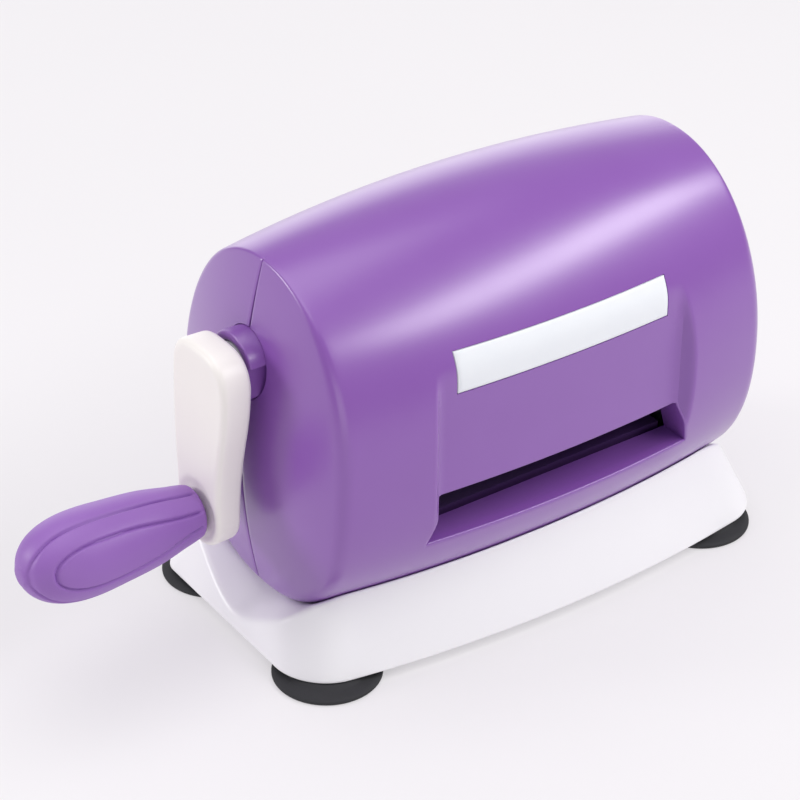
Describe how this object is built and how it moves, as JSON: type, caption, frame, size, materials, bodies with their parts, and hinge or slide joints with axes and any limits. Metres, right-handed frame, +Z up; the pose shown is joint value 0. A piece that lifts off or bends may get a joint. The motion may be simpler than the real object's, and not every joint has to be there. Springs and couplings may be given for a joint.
{
  "type": "die cutting machine",
  "caption": "Hand-cranked tabletop die cutting and embossing machine: barrel housing on a white base, feed slot through the middle, geared roller pair turned by a side crank.",
  "frame": {"origin": "on the ground under the middle of the machine's overall box, crank and grip included", "axes": "+X along the rollers, away from the crank; the front feed slot faces -Y; +Z up"},
  "size_m": [0.329, 0.138, 0.1748],
  "materials": {
    "housing_purple": "satin moulded violet plastic",
    "grip_purple": "satin moulded violet plastic with fine grain",
    "label_strip": "smooth pale insert, blank",
    "base_white": "smooth white moulded plastic",
    "plate_grey": "fine grained moulded plastic",
    "arm_cream": "satin off-white plastic",
    "frame_steel": "zinc plated sheet steel",
    "roller_steel": "ground steel",
    "fastener_steel": "zinc plated steel",
    "gear_nylon": "moulded nylon",
    "bush_bronze": "sintered bronze",
    "bush_grey": "light grey acetal",
    "foot_rubber": "matte black rubber"
  },
  "bodies": {
    "machine_body": {"front_shell": "housing_purple", "rear_shell": "housing_purple", "crank_collar": "housing_purple", "label_strip": "label_strip", "base_cradle": "base_white", "base_bottom_plate": "plate_grey", "left_side_frame": "frame_steel", "right_side_frame": "frame_steel", "front_feed_table": "housing_purple", "rear_feed_table": "housing_purple", "crank_collar_bush": "bush_grey", "crank_frame_bush": "bush_bronze", "upper_roller_bush_left": "bush_bronze", "upper_roller_bush_right": "bush_bronze", "tie_rod_upper_front": "fastener_steel", "tie_rod_upper_rear": "fastener_steel", "lower_roller_bush_left": "bush_bronze", "lower_roller_bush_right": "bush_bronze", "tie_rod_lower_front": "fastener_steel", "tie_rod_lower_rear": "fastener_steel", "foot_front_left": "foot_rubber", "foot_screw_front_left": "fastener_steel", "foot_front_right": "foot_rubber", "foot_screw_front_right": "fastener_steel", "foot_rear_left": "foot_rubber", "foot_screw_rear_left": "fastener_steel", "foot_rear_right": "foot_rubber", "foot_screw_rear_right": "fastener_steel", "shell_screw_1": "fastener_steel", "frame_bolt_1": "fastener_steel", "shell_screw_2": "fastener_steel", "frame_bolt_2": "fastener_steel", "shell_screw_3": "fastener_steel", "frame_bolt_3": "fastener_steel", "shell_screw_4": "fastener_steel", "frame_bolt_4": "fastener_steel"},
    "crank": {"crank_shaft": "roller_steel", "crank_pinion": "roller_steel", "crank_arm": "arm_cream", "crank_grub_screw": "fastener_steel", "grip_spindle": "roller_steel"},
    "upper_roller_set": {"upper_roller": "roller_steel", "reduction_gear": "gear_nylon", "upper_sync_gear": "gear_nylon"},
    "lower_roller_set": {"lower_roller": "roller_steel", "lower_sync_gear": "gear_nylon"},
    "grip_body": {"grip": "grip_purple"}
  },
  "joints": [
    {"name": "crank_spin", "type": "hinge", "parent": "machine_body", "child": "crank", "pos_m": [-0.0406, 0, 0.1263], "axis": [1, 0, 0], "continuous": true},
    {"name": "upper_roller_spin", "type": "hinge", "parent": "machine_body", "child": "upper_roller_set", "pos_m": [0.0494, 0, 0.0888], "axis": [1, 0, 0], "continuous": true},
    {"name": "lower_roller_spin", "type": "hinge", "parent": "machine_body", "child": "lower_roller_set", "pos_m": [0.0494, 0, 0.0448], "axis": [1, 0, 0], "continuous": true},
    {"name": "grip_spin", "type": "hinge", "parent": "crank", "child": "grip_body", "pos_m": [-0.1206, 0.0006, 0.0664], "axis": [1, 0, 0], "continuous": true}
  ],
  "couplings": [
    {"joint": "upper_roller_spin", "follows": "crank_spin", "ratio": -0.31579},
    {"joint": "lower_roller_spin", "follows": "crank_spin", "ratio": 0.31579}
  ]
}
